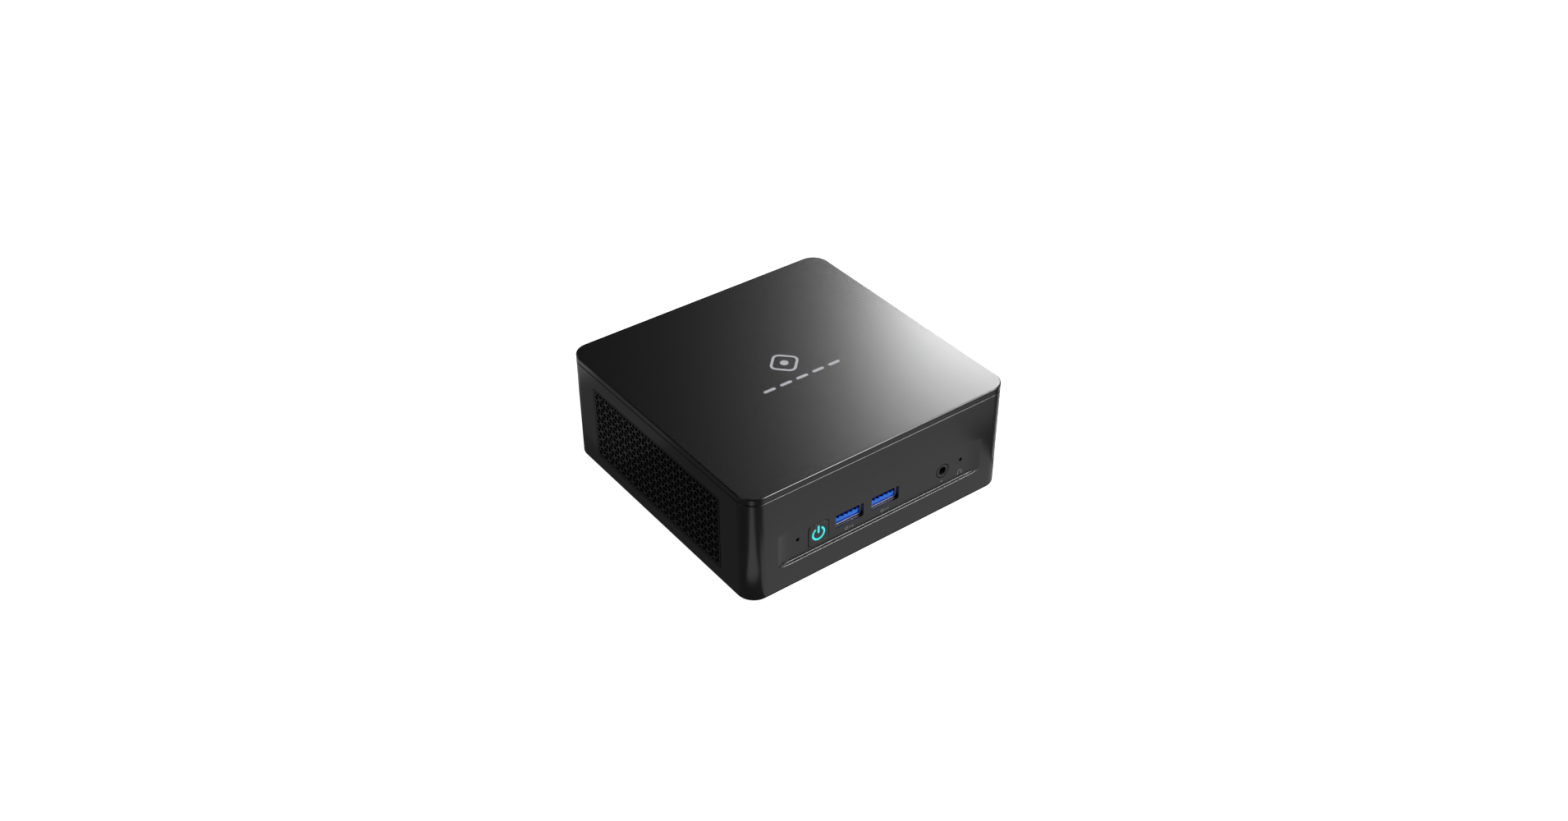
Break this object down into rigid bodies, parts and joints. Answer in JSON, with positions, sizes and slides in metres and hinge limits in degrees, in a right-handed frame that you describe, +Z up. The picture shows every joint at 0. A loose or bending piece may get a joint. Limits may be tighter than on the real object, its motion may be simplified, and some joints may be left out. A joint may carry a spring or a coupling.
{
  "type": "mini pc",
  "caption": "Small square desktop computer: satin black case with rounded corners, lift-off lid, perforated sides, lit power button and ports in a front recess.",
  "frame": {"origin": "on the floor, under the middle of the case", "axes": "+Z up, the front with the power button faces -Y, +X is to the right seen from the front"},
  "size_m": [0.127, 0.124, 0.05],
  "materials": {
    "case_shell": "satin black, fine grain",
    "case_lid": "satin black, fine grain, soft sheen",
    "grille_black": "matt black",
    "cover_black": "matt black, fine texture",
    "foot_rubber": "soft black rubber",
    "button_black": "satin black",
    "light_cyan": "clear light guide, lit cyan",
    "plated_steel": "bright nickel plate",
    "screw_steel": "dark zinc plate",
    "tongue_blue": "bright blue",
    "socket_black": "black moulding",
    "board_dark": "dark green solder mask",
    "chip_dark": "dark moulded package",
    "contact_gold": "gold plated can",
    "fin_aluminium": "plain",
    "tray_aluminium": "satin",
    "cooler_copper": "bare copper"
  },
  "bodies": {
    "case": {"audio_jack": "socket_black", "board_screw_front_left": "screw_steel", "board_screw_front_right": "screw_steel", "board_screw_rear_left": "screw_steel", "board_screw_rear_right": "screw_steel", "bottom_cover": "cover_black", "coin_cell": "plated_steel", "cold_plate": "cooler_copper", "cover_screw_front_left": "screw_steel", "cover_screw_front_right": "screw_steel", "cover_screw_rear_left": "screw_steel", "cover_screw_rear_right": "screw_steel", "dc_jack": "socket_black", "displayport_shell": "plated_steel", "displayport_tongue": "socket_black", "drive_screw": "screw_steel", "drive_socket": "socket_black", "drive_standoff": "plated_steel", "fan_housing": "socket_black", "fin_stack": "fin_aluminium", "foot_front_left": "foot_rubber", "foot_front_right": "foot_rubber", "foot_rear_left": "foot_rubber", "foot_rear_right": "foot_rubber", "front_usb_left_shell": "plated_steel", "front_usb_left_tongue": "tongue_blue", "front_usb_right_shell": "plated_steel", "front_usb_right_tongue": "tongue_blue", "hdmi_shell": "plated_steel", "hdmi_tongue": "socket_black", "heat_pipe": "cooler_copper", "housing": "case_shell", "lan_jack": "plated_steel", "left_grille": "grille_black", "memory_module_lower": "board_dark", "memory_module_upper": "board_dark", "memory_socket": "socket_black", "microphone": "contact_gold", "motherboard": "board_dark", "power_switch": "chip_dark", "processor": "chip_dark", "rear_usb_lower_tongue": "tongue_blue", "rear_usb_shell": "plated_steel", "rear_usb_upper_tongue": "tongue_blue", "reset_switch": "chip_dark", "right_grille": "grille_black", "solid_state_drive": "board_dark", "usb_c_shell": "plated_steel", "usb_c_tongue": "socket_black", "wireless_card": "board_dark", "wireless_socket": "socket_black"},
    "lid": {"top_cover": "case_lid", "drive_tray": "tray_aluminium", "tray_screw_left": "screw_steel", "tray_screw_right": "screw_steel"},
    "power_button": {"power_button": "button_black", "power_light_guide": "light_cyan", "power_plunger": "socket_black"},
    "reset_plunger": {"reset_plunger": "socket_black"},
    "fan_rotor": {"fan_rotor": "socket_black"}
  },
  "joints": [
    {"name": "lid_lift", "type": "slide", "parent": "case", "child": "lid", "axis": [0, 0, 1], "range_m": [0, 0.045]},
    {"name": "power_press", "type": "slide", "parent": "case", "child": "power_button", "axis": [0, 1, 0], "range_m": [0, 0.0006], "stiffness_N_per_m": 2000, "springref_m": -0.0003},
    {"name": "reset_press", "type": "slide", "parent": "case", "child": "reset_plunger", "axis": [0, 1, 0], "range_m": [0, 0.0003], "stiffness_N_per_m": 3000, "springref_m": -0.0002},
    {"name": "fan_spin", "type": "hinge", "parent": "case", "child": "fan_rotor", "pos_m": [-0.019, 0.005, 0.009], "axis": [0, 0, 1], "continuous": true}
  ]
}
